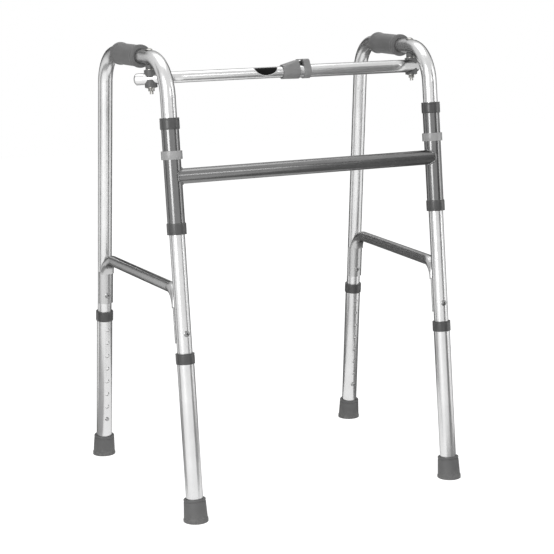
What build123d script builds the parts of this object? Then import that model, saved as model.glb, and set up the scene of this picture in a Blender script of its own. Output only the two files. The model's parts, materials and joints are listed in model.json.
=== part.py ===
from build123d import *
import os
from math import cos, degrees, radians, sin, tan

# Folding walking frame, all sizes in millimetres and degrees.
# +Z is up, the H-shaped front frame faces -Y and the user stands at +Y.
# Left and right are as seen from the front, so the right side is at +X.
# The origin is on the floor, under the middle of the four feet.

# overall stance
FRONT_SPACING = 490.0  # between the two front leg axes
FOOT_DEPTH = 416.0  # front foot centre to rear foot centre
HANDLE_HEIGHT = 757.0  # axis of the hand rails above the floor
FRONT_LEAN = 6.4  # front legs and folding axes, bottoms forward
REAR_LEAN = 5.1  # rear legs, bottoms backward
TOE_OUT = 2.2  # side frames open towards the user
FRONT_BEND = 66.0
REAR_BEND = 60.0

# clearances
FIXED_GAP = 0.05  # round seats inside one rigid group
RUN_GAP = 0.1  # running fits, measured on the radius
SAFE_GAP = 0.3  # moving faces that only pass each other
OVERRUN = 1.0  # cutters and buried roots go this far past a face

# tubes
UPPER_DIA = 25.4
UPPER_WALL = 1.5
LEG_PLAY = 0.4  # upper tube inside the lower leg, on the radius
LOWER_WALL = 1.2
SLEEVE_WALL = 1.2
CROSS_DIA = 25.4
CROSS_WALL = 1.5
BRACE_DIA = 19.0
BRACE_WALL = 1.2
INNER_BAR_DIA = 19.05
INNER_BAR_WALL = 1.2
BAR_PLAY = 0.375  # inner bar inside the outer one, on the radius
OUTER_BAR_WALL = 1.2

# leg adjustment, heights along each leg
LOWEST_HOLE = 73.5
HOLE_PITCH = 25.0
HOLE_COUNT = 8
HOLE_TO_TOP = 31.0  # highest hole to the top end of the lower leg
LEG_BUTTON_DIA = 7.5
HOLE_PLAY = 0.25  # button in the leg's hole, on the radius
LEG_BUTTON_PROUD = 2.3  # button tip beyond the lower leg's outer face
LEG_BUTTON_SUNK = 2.8  # button base below the upper tube's bore
BUTTON_DOME = 1.5
UPPER_TUBE_END = 50.0
COLLAR_WALL = 1.55
COLLAR_HEIGHT = 18.0
COLLAR_LIP = 2.6

# rubber feet
FERRULE_HEIGHT = 38.0
FERRULE_WALL = 4.15  # at the lip
FERRULE_FLARE = 2.5  # base beyond the lip, on the radius
FERRULE_EDGE = 5.0  # height of the full-width base
FERRULE_SHOULDER = 1.0  # step in above the base
FERRULE_SHOULDER_HEIGHT = 2.5
FERRULE_CHAMFER = 1.5
FERRULE_FLOOR = 9.0  # rubber below the steel disc
DISC_THICK = 1.6

# folding sleeves of the front frame
SLEEVE_TO_BEND = 37.7  # sleeve top below the start of the leg's bend
SLEEVE_LONG = 184.0
BUSH_INSERT_WALL = 0.55
BUSH_SKIRT_WALL = 1.55
BUSH_SKIRT = 15.8
BUSH_LIP = 3.0
BUSH_INSERT = 14.0
CROSS_TO_TOP = 92.5  # crossbar axis below the sleeve top
CROSS_FORWARD = 3.0
CROSS_SHORT = 3.0  # ends of the crossbar before the sleeve axes
CLIP_TO_TOP = 57.5  # clip centre below the sleeve top
CLIP_HEIGHT = 14.0
CLIP_WALL = 2.7
CLIP_PEG_DIA = 6.0
CLIP_SPLIT = 4.0
FOLD_LEFT = 84.0
FOLD_RIGHT = 58.8
FOLD_SPARE = 3.0  # slot beyond the fold at both ends

# side brace
SADDLE_TO_COLLAR = 16.9  # saddle above the leg's collar
SADDLE_THICK = 2.4
SADDLE_WRAP = 150.0
BRACE_RISE = 83.0  # brace axis above the foot of its saddles
BRACE_BEND = 32.0
BRACE_SECTIONS = 5  # sections in each swelling bend
BRACE_SINK = 3.0  # flattened section set back into the leg's outline
BRACE_NARROW = 0.9  # flattened section inside the saddle's edge
RIVET_RISE = 16.0
RIVET_DIA = 5.0
RIVET_HEAD_DIA = 10.5
RIVET_HEAD = 2.2
RIVET_TAIL_DIA = 7.5
RIVET_TAIL = 1.54

# hand grips
GRIP_LONG = 94.0
GRIP_BACK = 10.6  # grip's middle behind the middle of the rail's free run
GRIP_WALL = 5.25
GRIP_FLARE = 1.5  # fuller end rings, on the radius
GRIP_FLARE_LONG = 9.0
GRIP_ROUND = 2.5

# telescopic top bar
PIVOT_BACK = 66.0  # pivot axis behind the front leg axis
BAR_DROP = 34.95  # bar axis below the rail axis, along the bolt
BAR_SET = 22.0  # straight run in front of the pivots
BAR_KINK = 30.0
BAR_BEND = 30.0
BAR_INNER_TAIL = 24.0  # tube beyond the left pivot
BAR_OUTER_TAIL = 14.0
BAR_INNER_END = 60.0
BAR_OUTER_END = -1.5
BAR_CAP = 4.5
BAR_CAP_PLUG = 9.0

# pivot stack
BOLT_DIA = 6.0
BOLT_HEAD_DIA = 13.0
BOLT_HEAD = 3.2
BOLT_HEAD_SINK = 0.6  # head let down over the round of the rail
BOLT_SPARE = 4.9  # thread beyond the nut
BOSS_DIA = 15.0
THIN_WASHER_DIA = 16.0
THIN_WASHER = 1.0
SADDLE_WASHER_DIA = 21.0
SADDLE_WASHER_SEAT = 3.5  # plastic between the outer bar and the flat face
SADDLE_WASHER_WING = 2.0  # wings end this far from the bar axis
NUT_ACROSS = 10.0
NUT_HEIGHT = 5.0

# bar latch, positions along the bar from the middle of the frame
LATCH_LEFT = -18.0
LATCH_RIGHT = 12.8
LATCH_TRAVEL = 6.0
RING_LEFT = 21.2
RING_RIGHT = 33.0
LATCH_WALL = 1.4
LATCH_HUMP_RISE = 2.5  # hump centre above the outer bar
LATCH_HUMP_RADIUS = 7.0
NOSE_TAPER = 0.6
NOSE_HUMP_RISE = 0.5  # hump centre above the bar axis at the nose
LATCH_LIP = 4.5
TONGUE_WIDE = 8.0
TONGUE_THICK = 1.4
TONGUE_DROP = 0.3  # top of the tongue below the top of the ring
TONGUE_LAP = 1.5  # tongue inside the collar at rest
LATCH_BUTTON_X = 17.0
LATCH_BUTTON_DIA = 7.6
LATCH_BUTTON_PROUD = 5.9  # top above the outer bar
LATCH_BUTTON_SUNK = 2.725  # base below the inner bar's bore
LATCH_BUTTON_CLEAR = 0.125  # pressed top below the inner bar's outer face

# leaf springs of the snap buttons
LEAF_THICK = 0.8
LEAF_WIDE = 7.0
LEG_LEAF_LONG = 44.0
LATCH_LEAF_LONG = 30.0
LEAF_BEND = 2.5
LEAF_TIP_BEND = 1.2

half_spacing = FRONT_SPACING / 2
front_foot_y = -FOOT_DEPTH / 2
rear_foot_y = FOOT_DEPTH / 2
lean, rear_lean = radians(FRONT_LEAN), radians(REAR_LEAN)

# radii of what slides or seats on something else
upper_r, cross_r, brace_r = UPPER_DIA / 2, CROSS_DIA / 2, BRACE_DIA / 2
lower_r = upper_r + LEG_PLAY + LOWER_WALL
collar_r = lower_r + FIXED_GAP + COLLAR_WALL
lip_r = lower_r + FIXED_GAP + FERRULE_WALL
base_r = lip_r + FERRULE_FLARE
sleeve_r = upper_r + RUN_GAP + BUSH_INSERT_WALL + FIXED_GAP + SLEEVE_WALL
bush_r = sleeve_r + FIXED_GAP + BUSH_SKIRT_WALL
clip_r = sleeve_r + SAFE_GAP + CLIP_WALL
grip_r = upper_r + FIXED_GAP + GRIP_WALL
inner_bar_r = INNER_BAR_DIA / 2
outer_bar_r = inner_bar_r + BAR_PLAY + OUTER_BAR_WALL
latch_r = outer_bar_r + SAFE_GAP + LATCH_WALL
latch_hump = outer_bar_r + LATCH_HUMP_RISE
nose_r = latch_r - NOSE_TAPER
# the flats beside the hump lean alike at both ends, so the shell between them isn't twisted
nose_hump_radius = nose_r - NOSE_HUMP_RISE * (latch_r - LATCH_HUMP_RADIUS) / latch_hump

# heights along the legs
leg_top = LOWEST_HOLE + (HOLE_COUNT - 1) * HOLE_PITCH + HOLE_TO_TOP
leg_button_base = upper_r - UPPER_WALL - LEG_BUTTON_SUNK
saddle_low = leg_top + COLLAR_LIP + SADDLE_TO_COLLAR
rivet_height = saddle_low + RIVET_RISE
brace_height = saddle_low + BRACE_RISE
front_bend_start = HANDLE_HEIGHT / cos(lean) - FRONT_BEND * tan((radians(90) - lean) / 2)
sleeve_high = front_bend_start - SLEEVE_TO_BEND
sleeve_low = sleeve_high - SLEEVE_LONG
cross_height = sleeve_high - CROSS_TO_TOP
clip_centre = sleeve_high - CLIP_TO_TOP
bar_level = (HANDLE_HEIGHT + PIVOT_BACK * sin(lean)) / cos(lean) - BAR_DROP

# distances from the bar's axis
saddle_base = outer_bar_r + SADDLE_WASHER_SEAT
boss_bottom = saddle_base + THIN_WASHER + SAFE_GAP
bolt_tip = saddle_base + THIN_WASHER + NUT_HEIGHT + BOLT_SPARE
latch_button_top = outer_bar_r + LATCH_BUTTON_PROUD
latch_button_base = inner_bar_r - INNER_BAR_WALL - LATCH_BUTTON_SUNK
latch_button_travel = latch_button_top - inner_bar_r + LATCH_BUTTON_CLEAR

# Each leg has its own frame: Z up along the leg, X towards the other leg of the same side.
FRONT_LEG = Plane(
    origin=(0, front_foot_y, 0),
    x_dir=(0, cos(lean), -sin(lean)),
    z_dir=(0, sin(lean), cos(lean)),
)
REAR_LEG = Plane(
    origin=(0, rear_foot_y, 0),
    x_dir=(0, -cos(rear_lean), -sin(rear_lean)),
    z_dir=(0, -sin(rear_lean), cos(rear_lean)),
)
LEGS = {"front": FRONT_LEG, "rear": REAR_LEG}
SIDES = {"left": -1, "right": 1}
# The bar lies in a plane square to the folding axes: X along the bar, Y towards the user.
BAR = Plane(
    origin=FRONT_LEG.from_local_coords((0, 0, bar_level)),
    x_dir=(1, 0, 0),
    z_dir=(0, sin(lean), cos(lean)),
)
PIVOT = Plane(
    origin=FRONT_LEG.from_local_coords((PIVOT_BACK, 0, bar_level)),
    x_dir=(1, 0, 0),
    z_dir=(0, sin(lean), cos(lean)),
)
pivot_x = half_spacing + PIVOT_BACK * sin(radians(TOE_OUT))
pivot_y = PIVOT_BACK * cos(radians(TOE_OUT))
bar_y = pivot_y - BAR_SET
kink_x = pivot_x - BAR_SET / tan(radians(BAR_KINK))


def save(name, shape):
    """Write one piece, or one group of like pieces, as its own file."""
    export_step(shape, f"parts/{name}.step")


def ring(outer_r, inner_r, low, high):
    """A tube length about Z; an inner radius of 0 makes it solid."""
    body = Pos(0, 0, (low + high) / 2) * Cylinder(outer_r, high - low)
    if inner_r:
        body -= Pos(0, 0, (low + high) / 2) * Cylinder(inner_r, high - low)
    return body


def pin(radius, start, end):
    """A solid rod along X between two distances from the Z axis."""
    return Pos((start + end) / 2, 0, 0) * Rot(0, 90, 0) * Cylinder(radius, end - start)


def on_side(shape, side):
    """Turn a side-frame piece to its toe-out and carry it to the left or right."""
    axis = Axis((0, front_foot_y, 0), (0, sin(lean), cos(lean)))
    turned = shape.rotate(axis, -SIDES[side] * TOE_OUT)
    return Pos(SIDES[side] * half_spacing, 0, 0) * turned


def on_front(shape, side):
    """Carry a piece of the front frame, built in the front leg's frame, to one sleeve."""
    return Pos(SIDES[side] * half_spacing, 0, 0) * (FRONT_LEG.location * shape)


def swept(path, radius):
    """A round rod along a path of straight runs and tangent arcs."""
    return sweep(Plane(path @ 0, z_dir=path % 0) * Circle(radius), path=path)


def rail_corner(leg):
    """Where a leg's axis meets the height of the hand rail."""
    foot, up = leg.origin, leg.z_dir
    return foot + up * (HANDLE_HEIGHT / up.Z)


def dome(radius, height, base):
    """A shallow round head that grows along +Z from its flat base."""
    ball = (radius**2 + height**2) / (2 * height)
    cap = Pos(0, 0, base + height - ball) * Sphere(ball)
    return cap & ring(radius, 0, base, base + height)


def side_tube():
    """Front leg, hand rail and rear leg bent from one tube, with its holes."""
    path = FilletPolyline(
        FRONT_LEG.from_local_coords((0, 0, UPPER_TUBE_END)),
        rail_corner(FRONT_LEG),
        rail_corner(REAR_LEG),
        REAR_LEG.from_local_coords((0, 0, UPPER_TUBE_END)),
        radius=[FRONT_BEND, REAR_BEND],
    )
    tube = swept(path, upper_r) - swept(path, upper_r - UPPER_WALL)
    tube -= PIVOT.location * ring(BOLT_DIA / 2 + RUN_GAP, 0, 0, BAR_DROP + 2 * upper_r)
    for leg in LEGS.values():
        button = Pos(0, 0, LOWEST_HOLE) * pin(LEG_BUTTON_DIA / 2 + RUN_GAP, 0, lower_r)
        rivet = Pos(0, 0, rivet_height) * pin(RIVET_DIA / 2 + FIXED_GAP, -lower_r, lower_r)
        tube -= leg.location * button
        tube -= leg.location * rivet
    peg = Pos(0, 0, clip_centre) * pin(CLIP_PEG_DIA / 2 + RUN_GAP, -sleeve_r, 0)
    return tube - FRONT_LEG.location * peg


def handgrip():
    """Rubber grip with a fuller ring at each end, bored for the rail."""
    bore, flare_r = upper_r + FIXED_GAP, grip_r + GRIP_FLARE
    # the free run of the rail goes from the pivot axis to the start of the rear bend
    pivot_at = rail_corner(FRONT_LEG).Y + PIVOT_BACK / cos(lean)
    rear_bend = rail_corner(REAR_LEG).Y - REAR_BEND * tan((radians(90) - rear_lean) / 2)
    middle = (pivot_at + rear_bend) / 2 + GRIP_BACK
    front, rear = middle - GRIP_LONG / 2, middle + GRIP_LONG / 2
    profile = Polyline(
        (bore, front),
        (flare_r - GRIP_ROUND, front),
        (flare_r, front + GRIP_ROUND),
        (grip_r, front + GRIP_FLARE_LONG),
        (grip_r, rear - GRIP_FLARE_LONG),
        (flare_r, rear - GRIP_ROUND),
        (flare_r - GRIP_ROUND, rear),
        (bore, rear),
        close=True,
    )
    grip = revolve(Plane.XY * make_face(profile), Axis.Y)
    return Pos(0, 0, HANDLE_HEIGHT) * grip


def brace_bend_start(leg_lean):
    """Height along the leg at which the brace leaves its saddle and starts to bend."""
    turn = radians(90) - leg_lean
    reach = upper_r + FIXED_GAP + BRACE_BEND * (1 - cos(turn))
    return (brace_height + reach * sin(leg_lean)) / cos(leg_lean) - BRACE_BEND * sin(turn)


def brace_end(leg_lean):
    """One end of the brace: a saddle round the leg that swells and bends into the round tube."""
    hug = upper_r + FIXED_GAP
    outer = hug + SADDLE_THICK
    half_wide = outer * sin(radians(SADDLE_WRAP / 2))
    keep_x = outer * cos(radians(SADDLE_WRAP / 2))
    start = brace_bend_start(leg_lean)
    top = start + SADDLE_THICK
    keep = Pos(keep_x + outer, 0, (saddle_low + top) / 2) * Box(
        2 * outer, 2 * half_wide, top - saddle_low
    )
    saddle = ring(outer, 0, saddle_low, top) & keep
    flat_wide = half_wide - BRACE_NARROW
    flat_thick = SADDLE_THICK + BRACE_SINK
    full_turn = radians(90) - leg_lean
    sections = []
    for n in range(BRACE_SECTIONS):
        share = n / (BRACE_SECTIONS - 1)
        turn = share * full_turn
        swell = sin(share * radians(90))
        sink = BRACE_SINK * (1 - share)
        section = Plane(
            origin=(hug - sink + BRACE_BEND * (1 - cos(turn)), 0, start + BRACE_BEND * sin(turn)),
            x_dir=(cos(turn), 0, -sin(turn)),
            z_dir=(sin(turn), 0, cos(turn)),
        )
        thick = flat_thick + (brace_r - flat_thick) * swell
        wide = flat_wide + (brace_r - flat_wide) * share
        sections.append(section * Ellipse(thick, wide))
    end = saddle + loft(sections)
    end -= ring(hug, 0, saddle_low - outer, brace_height + outer)
    hole = Pos(0, 0, rivet_height) * pin(RIVET_DIA / 2 + FIXED_GAP, 0, 2 * outer)
    return end - hole


def side_brace():
    """Inverted shallow U between the legs: a level tube with a saddle at each end."""
    brace, reach = None, []
    for leg, leg_lean in ((FRONT_LEG, lean), (REAR_LEG, rear_lean)):
        turn = radians(90) - leg_lean
        along = upper_r + FIXED_GAP + BRACE_BEND * (1 - cos(turn))
        up = brace_bend_start(leg_lean) + BRACE_BEND * sin(turn)
        reach.append(leg.from_local_coords((along, 0, up)))
        end = leg.location * brace_end(leg_lean)
        brace = brace + end if brace else end
    middle = (reach[0] + reach[1]) * 0.5
    level = Cylinder(brace_r, (reach[1] - reach[0]).length)
    level -= Cylinder(brace_r - BRACE_WALL, (reach[1] - reach[0]).length)
    return brace + Pos(*middle) * Rot(90, 0, 0) * level


def brace_rivets():
    """Both rivets of one side, heads towards the front."""
    rivets = []
    for name, leg in LEGS.items():
        saddle = upper_r + FIXED_GAP + SADDLE_THICK
        head_at, tail_at = (-upper_r, saddle) if name == "front" else (saddle, -upper_r)
        way = 1 if head_at > tail_at else -1
        shank = pin(RIVET_DIA / 2, min(head_at, tail_at), max(head_at, tail_at))
        head = Rot(0, 90 * way, 0) * dome(RIVET_HEAD_DIA / 2, RIVET_HEAD, 0)
        recess = pin(RIVET_DIA / 4, head_at - RIVET_HEAD, head_at + RIVET_HEAD)
        tail = Rot(0, -90 * way, 0) * ring(RIVET_TAIL_DIA / 2, 0, 0, RIVET_TAIL)
        rivet = shank + Pos(head_at, 0, 0) * head + Pos(tail_at, 0, 0) * tail - recess
        rivets.append(leg.location * (Pos(0, 0, rivet_height) * rivet))
    return Compound(rivets)


def retainer_clip():
    """Split ring round the sleeve; its peg passes the sleeve's slot into the leg."""
    clip = ring(clip_r, sleeve_r + SAFE_GAP, -CLIP_HEIGHT / 2, CLIP_HEIGHT / 2)
    clip -= Pos(clip_r, 0, 0) * Box(2 * clip_r, CLIP_SPLIT, 2 * CLIP_HEIGHT)
    peg = pin(CLIP_PEG_DIA / 2, -sleeve_r - SAFE_GAP - OVERRUN, -upper_r + UPPER_WALL)
    return Pos(0, 0, clip_centre) * (clip + peg)


def sleeve(side):
    """Steel sleeve welded to the crossbar, with the arc slot that lets the peg swing."""
    tube = ring(sleeve_r, sleeve_r - SLEEVE_WALL, sleeve_low, sleeve_high)
    fold = FOLD_LEFT if side == "left" else FOLD_RIGHT
    half = CLIP_PEG_DIA / 2 + SAFE_GAP
    spare = FOLD_SPARE + degrees(half / sleeve_r)
    window = revolve(
        Plane.XZ * Pos(sleeve_r, clip_centre) * Rectangle(4 * SLEEVE_WALL, 2 * half),
        Axis.Z,
        fold + 2 * spare,
    )
    # the slot starts at the front of the sleeve and runs to its outer side
    start = 180 - spare if side == "right" else 180 + spare - (fold + 2 * spare)
    return tube - Rot(0, 0, start) * window


def sleeve_bush(upper):
    """Plastic bush in one end of the sleeve: skirt, lip and running bore."""
    bore = upper_r + RUN_GAP
    skirt = ring(bush_r, sleeve_r + FIXED_GAP, 0, BUSH_SKIRT)
    lip = ring(bush_r, bore, -BUSH_LIP, 0)
    insert = ring(sleeve_r - SLEEVE_WALL - FIXED_GAP, bore, 0, BUSH_INSERT)
    bush = skirt + lip + insert
    if upper:
        return Pos(0, 0, sleeve_high) * Rot(180, 0, 0) * bush
    return Pos(0, 0, sleeve_low) * bush


def front_crossbar():
    """Crossbar of the front frame, coped to both sleeves."""
    middle = FRONT_LEG.from_local_coords((-CROSS_FORWARD, 0, cross_height))
    bar = Rot(0, 90, 0) * (
        Cylinder(cross_r, FRONT_SPACING - 2 * CROSS_SHORT)
        - Cylinder(cross_r - CROSS_WALL, FRONT_SPACING)
    )
    bar = Pos(*middle) * bar
    for side in SIDES:
        bar -= on_front(ring(sleeve_r + FIXED_GAP, 0, sleeve_low, sleeve_high), side)
    return bar


def lower_leg():
    """Outer leg tube with its row of height holes."""
    foot = FERRULE_FLOOR + DISC_THICK + FIXED_GAP
    tube = ring(lower_r, lower_r - LOWER_WALL, foot, leg_top)
    for n in range(HOLE_COUNT):
        hole = pin(LEG_BUTTON_DIA / 2 + HOLE_PLAY, 0, 2 * lower_r)
        tube -= Pos(0, 0, LOWEST_HOLE + n * HOLE_PITCH) * hole
    return tube


def leg_collar():
    """Plastic collar on top of the lower leg, guiding the upper tube."""
    top = leg_top + COLLAR_LIP
    skirt = ring(collar_r, lower_r + FIXED_GAP, top - COLLAR_HEIGHT, leg_top)
    return skirt + ring(collar_r, upper_r + RUN_GAP, leg_top, top)


def ferrule(leg):
    """Rubber foot, cut level with the floor."""
    below = -2 * base_r * sin(max(lean, rear_lean))
    bore = lower_r + FIXED_GAP
    profile = Polyline(
        (0, below),
        (base_r, below),
        (base_r, FERRULE_EDGE),
        (base_r - FERRULE_SHOULDER, FERRULE_EDGE + FERRULE_SHOULDER_HEIGHT),
        (lip_r, FERRULE_HEIGHT - FERRULE_CHAMFER),
        (lip_r - FERRULE_CHAMFER, FERRULE_HEIGHT),
        (bore, FERRULE_HEIGHT),
        (bore, FERRULE_FLOOR),
        (0, FERRULE_FLOOR),
        close=True,
    )
    return leg.location * revolve(Plane.XZ * make_face(profile), Axis.Z)


def level_cut(shape):
    """Everything below the floor is cut away."""
    ground = Box(4 * FRONT_SPACING, 4 * FOOT_DEPTH, 4 * base_r)
    return shape - Pos(0, 0, -2 * base_r) * ground


def leg_button():
    """Snap button of one leg: a domed pin that points at the other leg."""
    proud = lower_r + LEG_BUTTON_PROUD
    body = pin(LEG_BUTTON_DIA / 2, leg_button_base, proud - BUTTON_DOME)
    tip = Rot(0, 90, 0) * dome(LEG_BUTTON_DIA / 2, BUTTON_DOME, proud - BUTTON_DOME)
    return Pos(0, 0, LOWEST_HOLE) * (body + tip)


def leaf_spring(high, low, length, back):
    """V-shaped leaf spring: one arm under the button, the other on the far wall."""
    path = FilletPolyline(
        (high - LEAF_THICK / 2, 0, -back),
        (high - LEAF_THICK / 2, 0, back),
        ((high + low) / 2 + 2 * LEAF_THICK, 0, length),
        ((high + low) / 2 - 2 * LEAF_THICK, 0, length),
        (low + LEAF_THICK / 2, 0, back),
        (low + LEAF_THICK / 2, 0, -back),
        radius=[LEAF_BEND, LEAF_TIP_BEND, LEAF_TIP_BEND, LEAF_BEND],
    )
    start = Plane(path @ 0, x_dir=(1, 0, 0), z_dir=path % 0)
    return sweep(start * Rectangle(LEAF_THICK, LEAF_WIDE), path=path)


def leg_button_spring():
    """Leaf spring behind one leg button."""
    low = -((upper_r - UPPER_WALL) ** 2 - (LEAF_WIDE / 2) ** 2) ** 0.5 + FIXED_GAP
    leaf = leaf_spring(leg_button_base - FIXED_GAP, low, LEG_LEAF_LONG, LEG_BUTTON_DIA)
    return Pos(0, 0, LOWEST_HOLE) * leaf


def bar_path(sign, end_x, tail):
    """Axis of one half of the top bar, from its tail past the pivot to its inner end."""
    kink = radians(BAR_KINK)
    outer = (sign * (pivot_x + tail * cos(kink)), pivot_y + tail * sin(kink), 0)
    return FilletPolyline(outer, (sign * kink_x, bar_y, 0), (end_x, bar_y, 0), radius=BAR_BEND)


def top_bar(sign, radius, wall, end_x, tail):
    """One half of the top bar as a bent tube with its pivot hole, in the bar's frame."""
    path = bar_path(sign, end_x, tail)
    tube = swept(path, radius) - swept(path, radius - wall)
    return tube - Pos(sign * pivot_x, pivot_y, 0) * Cylinder(BOLT_DIA / 2 + RUN_GAP, 3 * radius)


def bar_end_cap(sign, radius, wall, tail):
    """Domed plug that closes the tail of one bar, in the bar's frame."""
    plug = ring(radius - wall - FIXED_GAP, 0, -BAR_CAP_PLUG, 0)
    cap = plug + dome(radius, BAR_CAP, 0)
    kink = radians(BAR_KINK)
    at = Plane(
        origin=(sign * (pivot_x + tail * cos(kink)), pivot_y + tail * sin(kink), 0),
        z_dir=(sign * cos(kink), sin(kink), 0),
    )
    cap = at.location * cap
    return cap - Pos(sign * pivot_x, pivot_y, 0) * Cylinder(BOLT_DIA / 2 + SAFE_GAP, 3 * radius)


def latch_button_hole(radius):
    """Cutter for the latch button's hole in the top of the bar."""
    cutter = Cylinder(LATCH_BUTTON_DIA / 2 + RUN_GAP, 2 * radius)
    return Pos(LATCH_BUTTON_X, bar_y, radius) * cutter


def latch_outline(x, radius, hump, hump_radius):
    """Round section of the latch with its raised back, square to the bar."""
    around = Pos(0, 0) * Circle(radius)
    raised = Pos(0, hump) * Circle(hump_radius)
    face = make_hull(around.edges() + raised.edges())
    return Plane(origin=(x, bar_y, 0), x_dir=(0, 1, 0), z_dir=(1, 0, 0)) * face


def bar_bore(radius, left, right):
    """A round cutter along the straight run of the bar."""
    return Pos(0, bar_y, 0) * pin(radius, left, right)


def latch_collar():
    """Sliding collar of the latch: a tapered shell whose ramp presses the button."""
    shell = loft(
        [
            latch_outline(LATCH_LEFT, nose_r, NOSE_HUMP_RISE, nose_hump_radius),
            latch_outline(LATCH_RIGHT, latch_r, latch_hump, LATCH_HUMP_RADIUS),
        ]
    )
    past = LATCH_RIGHT + OVERRUN
    shell -= bar_bore(inner_bar_r + 2 * SAFE_GAP, LATCH_LEFT - OVERRUN, past)
    shell -= bar_bore(outer_bar_r + SAFE_GAP, LATCH_LEFT + LATCH_LIP, past)
    # sloping pocket over the button
    ratio = latch_button_travel / LATCH_TRAVEL
    mouth = latch_button_top + SAFE_GAP
    depth = (mouth - outer_bar_r) / ratio
    side = Polyline(
        (LATCH_RIGHT - depth, outer_bar_r),
        (past, mouth + ratio * OVERRUN),
        (past, 0),
        (LATCH_RIGHT - depth, 0),
        close=True,
    )
    pocket_wide = LATCH_BUTTON_DIA + 2 * SAFE_GAP
    pocket = extrude(Plane.XZ * make_face(side), pocket_wide / 2, both=True)
    shell -= Pos(0, bar_y, 0) * pocket
    # groove for the guide tongue of the fixed ring
    groove_floor = latch_hump + LATCH_HUMP_RADIUS - TONGUE_DROP - TONGUE_THICK - SAFE_GAP
    groove_long = LATCH_TRAVEL + TONGUE_LAP + OVERRUN
    groove = Box(groove_long, TONGUE_WIDE + 2 * SAFE_GAP, 2 * LATCH_HUMP_RADIUS)
    at = Pos(LATCH_RIGHT - groove_long / 2, bar_y, groove_floor + LATCH_HUMP_RADIUS)
    return shell - at * groove


def latch_ring():
    """Fixed ring of the latch with the tongue that guides the collar."""
    face = latch_outline(RING_LEFT, latch_r, latch_hump, LATCH_HUMP_RADIUS)
    body = extrude(face, RING_RIGHT - RING_LEFT)
    body -= bar_bore(outer_bar_r + FIXED_GAP, RING_LEFT - OVERRUN, RING_RIGHT + OVERRUN)
    top = latch_hump + LATCH_HUMP_RADIUS - TONGUE_DROP
    left = LATCH_RIGHT - TONGUE_LAP
    tongue_long = RING_LEFT + OVERRUN - left
    tongue = Box(tongue_long, TONGUE_WIDE, TONGUE_THICK)
    return body + Pos(left + tongue_long / 2, bar_y, top - TONGUE_THICK / 2) * tongue


def latch_button():
    """Button of the latch: passes both bars when the frame stands open."""
    shoulder = latch_button_top - BUTTON_DOME
    body = ring(LATCH_BUTTON_DIA / 2, 0, latch_button_base, shoulder)
    tip = dome(LATCH_BUTTON_DIA / 2, BUTTON_DOME, shoulder)
    return Pos(LATCH_BUTTON_X, bar_y, 0) * (body + tip)


def latch_button_spring():
    """Leaf spring behind the latch button, lying along the inner bar."""
    room = inner_bar_r - INNER_BAR_WALL
    low = -(room**2 - (LEAF_WIDE / 2) ** 2) ** 0.5 + FIXED_GAP
    spring = leaf_spring(
        latch_button_base - FIXED_GAP, low, LATCH_LEAF_LONG, LATCH_BUTTON_DIA / 2
    )
    # the V is built along Z and closes towards +X once it is laid down
    laid = Plane(origin=(LATCH_BUTTON_X, bar_y, 0), x_dir=(0, 0, 1), z_dir=(1, 0, 0))
    return laid.location * spring


def pivot_boss():
    """Spacer between the hand rail and the bar, hollowed to sit under the rail."""
    boss = ring(BOSS_DIA / 2, BOLT_DIA / 2 + FIXED_GAP, boss_bottom, BAR_DROP)
    return PIVOT.location * boss - rail_rod(FIXED_GAP)


def rail_rod(gap):
    """The straight hand rail as a solid cutter."""
    middle = (rail_corner(FRONT_LEG) + rail_corner(REAR_LEG)) * 0.5
    return Pos(*middle) * Rot(90, 0, 0) * Cylinder(upper_r + gap, FOOT_DEPTH)


def bolt(bottom):
    """Pivot bolt from its domed head on the hand rail down to a given level."""
    head_at = BAR_DROP + upper_r / cos(lean) - BOLT_HEAD_SINK
    shank = ring(BOLT_DIA / 2, 0, bottom, head_at + OVERRUN)
    head = dome(BOLT_HEAD_DIA / 2, BOLT_HEAD, head_at)
    return PIVOT.location * shank + (PIVOT.location * head - rail_rod(FIXED_GAP))


def bar_rod(side):
    """The slanting tail of one bar as a solid cutter about the pivot, in the bar's frame."""
    radius = inner_bar_r if side == "left" else outer_bar_r
    kink = BAR_KINK if side == "right" else -BAR_KINK
    rod = Rot(0, 90, 0) * Cylinder(radius + FIXED_GAP, 4 * SADDLE_WASHER_DIA)
    return Pos(SIDES[side] * pivot_x, pivot_y, 0) * Rot(0, 0, kink) * rod


def pivot_saddles(side):
    """Upper and lower saddle washers, hollowed to sit on the bar."""
    at = Pos(SIDES[side] * pivot_x, pivot_y, 0)
    washers = []
    for low, high in (
        (SADDLE_WASHER_WING, saddle_base),
        (-saddle_base, -SADDLE_WASHER_WING),
    ):
        washer = at * ring(SADDLE_WASHER_DIA / 2, BOLT_DIA / 2 + RUN_GAP, low, high)
        washers.append(BAR.location * (washer - bar_rod(side)))
    return Compound([solid for washer in washers for solid in washer.solids()])


def pivot_washers(side):
    """Thin steel washers above and below the saddle washers."""
    at = Pos(SIDES[side] * pivot_x, pivot_y, 0)
    washers = []
    for low in (saddle_base, -saddle_base - THIN_WASHER):
        washer = ring(THIN_WASHER_DIA / 2, BOLT_DIA / 2 + RUN_GAP, low, low + THIN_WASHER)
        washers.append(BAR.location * (at * washer))
    return Compound(washers)


def pivot_nut(side):
    """Nut under the lower washer."""
    top = -saddle_base - THIN_WASHER
    outline = RegularPolygon(NUT_ACROSS / 2, 6, major_radius=False) - Circle(BOLT_DIA / 2 + FIXED_GAP)
    nut = Pos(SIDES[side] * pivot_x, pivot_y, top) * extrude(outline, -NUT_HEIGHT)
    return BAR.location * nut


def pivot_shank_right():
    """Lower length of the right pivot bolt, which stays with the bar."""
    at = Pos(pivot_x, pivot_y, 0)
    shank = ring(BOLT_DIA / 2, 0, -bolt_tip, saddle_base + THIN_WASHER)
    return BAR.location * (at * shank)


os.makedirs("parts", exist_ok=True)

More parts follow.
